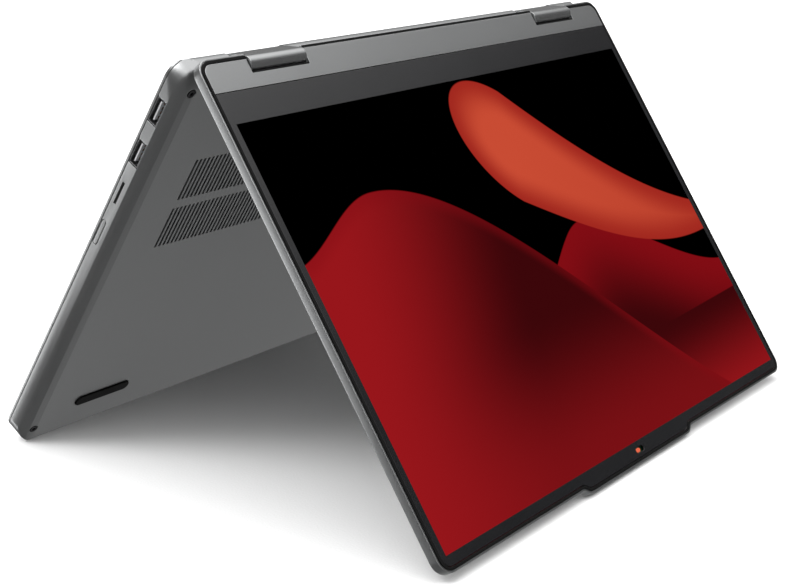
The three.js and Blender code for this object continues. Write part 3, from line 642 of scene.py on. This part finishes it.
def cap_rectangles(node):
    """The rectangles of a key row's caps in the base's own frame, read from the tops of the CAD caps."""
    bm = cad_copy(node)
    bmesh.ops.dissolve_limit(bm, angle_limit=math.radians(0.5), verts=bm.verts, edges=bm.edges)
    bm.transform(BASE.inverted())
    bm.normal_update()
    top = max(v.co.z for v in bm.verts)
    caps = [f for f in bm.faces if f.normal.z > 0.99 and f.calc_center_median().z > top - 0.05]
    rectangles = []
    for face in caps:
        xs = [v.co.x for v in face.verts]
        ys = [v.co.y for v in face.verts]
        rectangles.append(((min(xs), max(xs)), (min(ys), max(ys))))
    bm.free()
    return rectangles, top


def add_keycaps(node):
    """Scissor-switch caps: straight skirt, rounded shoulder and a shallow dish."""
    rectangles, top = cap_rectangles(node)
    # Each ring's inset from the side and drop from the top.
    shoulder = [(0.0, 0.42), (0.08, 0.18), (0.26, 0.04), (0.55, 0.0)]
    dish = [(1.3, 0.05), (2.4, 0.12)]
    bm = bmesh.new()
    for x, y in rectangles:
        rings = [rounded_ring(x, y, CAP_CORNER, top - CAP_HEIGHT)]
        for inset, drop in shoulder + dish:
            rings.append(rounded_ring(shrink(x, inset), shrink(y, inset), CAP_CORNER, top - drop))
        loft(bm, rings)
    bm.transform(BASE)
    add_piece(f"{node}_caps", bm, node)


# ---------------------------------------------------------------- small hardware


def add_notch_shade_sheet(side, sign):
    """A black sheet along the floor of the lid's notch, clear of the link that turns above it. It stands in
    for the shadow deep in the notch: painted shade.
    """
    x = sorted(sign * value for value in NOTCH_SHADE_SHEET["x"])
    bm = bmesh.new()
    add_block(bm, x, NOTCH_SHADE_SHEET["y"], NOTCH_SHADE_SHEET["z"])
    bmesh.ops.bevel(bm, geom=bm.edges[:], offset=SHADE_SHEET_EDGE, segments=2, profile=0.5, affect="EDGES")
    bm.transform(LID)
    add_piece(f"notch_liner_{side}", bm, "lid_back_cover", [PORT_DARK], replaces=False)


def add_hinge_link(node):
    """The housing between the two hinge axes: two half rounds joined by flats, with softened ends. It is
    solid: the bores that take the pins are only in the CAD."""
    soft = LINK_EDGE * MM
    low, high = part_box(node)
    radius = (high.z - low.z) / 2
    axes = [low.y + radius, high.y - radius]
    steps = 24

    def ring(x, inset):
        points = []
        for axis, start in zip(axes, (90, -90)):
            for step in range(steps + 1):
                angle = math.radians(start + 180 * step / steps)
                reach = radius - inset
                points.append((x, axis + reach * math.cos(angle), low.z + radius + reach * math.sin(angle)))
        return points

    sections = [(low.x, soft), (low.x + 0.3 * soft, 0.3 * soft), (low.x + soft, 0.0)]
    sections += [(high.x - soft, 0.0), (high.x - 0.3 * soft, 0.3 * soft), (high.x, soft)]
    bm = bmesh.new()
    loft(bm, [ring(x, inset) for x, inset in sections])
    bmesh.ops.recalc_face_normals(bm, faces=bm.faces)
    add_piece(f"{node}_body", bm, node, [HINGE_METAL])


def add_screw_head(node):
    """A round head with a six-lobed recess."""
    lobes = 6
    points = 48
    low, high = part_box(node)
    middle = BASE.inverted() @ ((low + high) / 2)
    circle = [2 * math.pi * i / points for i in range(points)]

    def ring(radius, z, wave=0.0):
        radii = [radius * (1 + wave * math.cos(lobes * a)) for a in circle]
        return [(middle.x + r * math.cos(a), middle.y + r * math.sin(a), z) for r, a in zip(radii, circle)]

    bm = bmesh.new()
    loft(bm, [
        ring(SCREW_RADIUS, 1.0),
        ring(SCREW_RADIUS, 0.45),
        ring(SCREW_RADIUS - 0.18, 0.27),
        ring(1.05, 0.25),
        ring(0.86, 0.3, 0.14),
        ring(0.82, 0.85, 0.14),
    ])
    bmesh.ops.recalc_face_normals(bm, faces=bm.faces)
    bm.transform(BASE)
    add_piece(f"{node}_head", bm, node, [SHADE_BLACK_STEEL])


# ---------------------------------------------------------------- ports

# What each kind of port looks like from outside: the rounding of its corners, the wall of its metal shell,
# the height of its tongue as a share of the opening, how thick the tongue is, its share of the opening's
# width, how many contacts lie on it, and how many springs hold the plug.
PORT_KINDS = {
    "usb_a": {
        "corner": 0.45,
        "wall": 0.35,
        "tongue_at": 0.60,
        "tongue": 0.7,
        "share": 0.80,
        "contacts": 4,
        "springs": 4,
    },
    "hdmi": {
        "corner": 0.45,
        "wall": 0.4,
        "tongue_at": 0.42,
        "tongue": 0.8,
        "share": 0.74,
        "contacts": 10,
        "springs": 2,
    },
    "usb_c": {
        "corner": 1.6,
        "wall": 0.4,
        "tongue_at": 0.5,
        "tongue": 0.6,
        "share": 0.70,
        "contacts": 8,
        "springs": 0,
    },
}
STEEL, NYLON, GILT, SPRING, DARK = range(5)
PORT_LOOKS = {
    STEEL: MATERIALS["steel"],
    NYLON: TONGUE_NYLON,
    GILT: MATERIALS["copper"],
    SPRING: SHADE_BLACK_STEEL,
    DARK: PORT_DARK,
}


def add_block(bm, x, y, z, material=0):
    """Adds a box between two values on each axis to bm."""
    box = bmesh.ops.create_cube(bm, size=1)["verts"]
    size = Vector((x[1] - x[0], y[1] - y[0], z[1] - z[0]))
    middle = Vector((x[0] + x[1], y[0] + y[1], z[0] + z[1])) / 2
    for vert in box:
        vert.co = middle + Vector(c * s for c, s in zip(vert.co, size))
    for face in {face for vert in box for face in vert.link_faces}:
        face.material_index = material


def local_box(node, leg):
    """A CAD node's lowest and highest corner in a leg's own frame."""
    bm = cad_copy(node)
    bm.transform(leg.inverted())
    low, high = extent(bm)
    bm.free()
    return low, high


def mouth_ring(x, y, z, radius, inset):
    """A rounded rectangle across the mouth of a port, at one x."""
    flat = rounded_ring(shrink(y, inset), shrink(z, inset), max(radius - inset, 0.05), x)
    return [(point[2], point[0], point[1]) for point in flat]


def add_shell(bm, kind, y, z, mouth, back, out):
    """The drawn metal shell with its rolled lip."""
    wall = kind["wall"]
    skin = [
        (back, 0.0),
        (mouth - 0.15 * out, 0.0),
        (mouth, 0.12),
        (mouth, wall - 0.1),
        (mouth - 0.2 * out, wall),
        (back + out, wall),
    ]
    loft(bm, [mouth_ring(x, y, z, kind["corner"], inset) for x, inset in skin])
    bmesh.ops.recalc_face_normals(bm, faces=bm.faces)


def add_tongue(bm, kind, y, z, tip, deep, out):
    """The moulded tongue across the opening, with the contacts on the side that faces the bottom cover."""
    middle = (y[0] + y[1]) / 2
    half = (y[1] - y[0]) * kind["share"] / 2
    height = z[0] + (z[1] - z[0]) * kind["tongue_at"]
    tongue_z = (height - kind["tongue"] / 2, height + kind["tongue"] / 2)
    add_block(bm, sorted((deep, tip)), (middle - half, middle + half), tongue_z, NYLON)
    strip = sorted((deep, tip - 1.6 * out))
    step = 2 * half / kind["contacts"]
    for i in range(kind["contacts"]):
        at = middle - half + (i + 0.5) * step
        width = (at - step * 0.28, at + step * 0.28)
        add_block(bm, strip, width, (tongue_z[0] - 0.06, tongue_z[0]), GILT)


def add_springs(bm, kind, y, z, mouth, out):
    """The spring fingers along the wall on the bottom cover's side."""
    reach = sorted((mouth - 0.5 * out, mouth - 6 * out))
    for i in range(kind["springs"]):
        at = y[0] + (i + 0.5) * (y[1] - y[0]) / kind["springs"]
        add_block(bm, reach, (at - 0.7, at + 0.7), (z[0], z[0] + 0.4), SPRING)


def add_port(node):
    """A port's shell, tongue, contacts and springs, with a dark wall at its back."""
    kind = next(value for name, value in PORT_KINDS.items() if node.startswith(name))
    low, high = local_box(node, BASE)
    out = 1 if high.x > 0 else -1
    mouth, back = (high.x, low.x) if out > 0 else (low.x, high.x)
    y, z = (low.y, high.y), (low.z, high.z)
    inner_y, inner_z = shrink(y, kind["wall"]), shrink(z, kind["wall"])
    bm = bmesh.new()
    add_shell(bm, kind, y, z, mouth, back, out)
    add_tongue(bm, kind, inner_y, inner_z, mouth - 0.7 * out, back + 1.2 * out, out)
    add_springs(bm, kind, inner_y, inner_z, mouth, out)
    back_wall = sorted((back + 0.9 * out, back + 1.2 * out))
    add_block(bm, back_wall, inner_y, inner_z, DARK)
    bm.transform(BASE)
    add_piece(f"{node}_detail", bm, node, list(PORT_LOOKS.values()))


# ---------------------------------------------------------------- painted shade behind the air intakes


def add_vent_shade_sheet(side, sign):
    """A black sheet behind one half's air intakes: painted shade, standing in for the shadow inside them."""
    bm = bmesh.new()
    x = sorted(sign * value for value in VENT_SHADE_SHEET["x"])
    loft(bm, [rounded_ring(x, VENT_SHADE_SHEET["y"], 2, z) for z in VENT_SHADE_SHEET["z"]])
    bm.transform(BASE)
    add_piece(f"vent_filter_{side}", bm, "bottom_cover", [VENT_SHADE_BLACK], replaces=False)


# ---------------------------------------------------------------- everything

# Nodes that get a shape of their own here, by how their names start.
DETAILED_NODES = [
    (("key_row", "space_bar"), add_keycaps),
    ("cover_screw", add_screw_head),
    ("hinge_link", add_hinge_link),
    (tuple(PORT_KINDS), add_port),
]

add_camera()
add_studio()
add_floor()

for node, cad in frame["nodes"].items():
    cad.data.materials.clear()
    cad.data.materials.append(MATERIALS[SLOT_OF[node]])
for node, radius in FINE_PIECES.items():
    refine(node, radius)
add_display()
for starts, add in DETAILED_NODES:
    for node in SLOT_OF:
        if node.startswith(starts):
            add(node)
for side, sign in [("right", -1), ("left", 1)]:
    add_vent_shade_sheet(side, sign)
    add_notch_shade_sheet(side, sign)
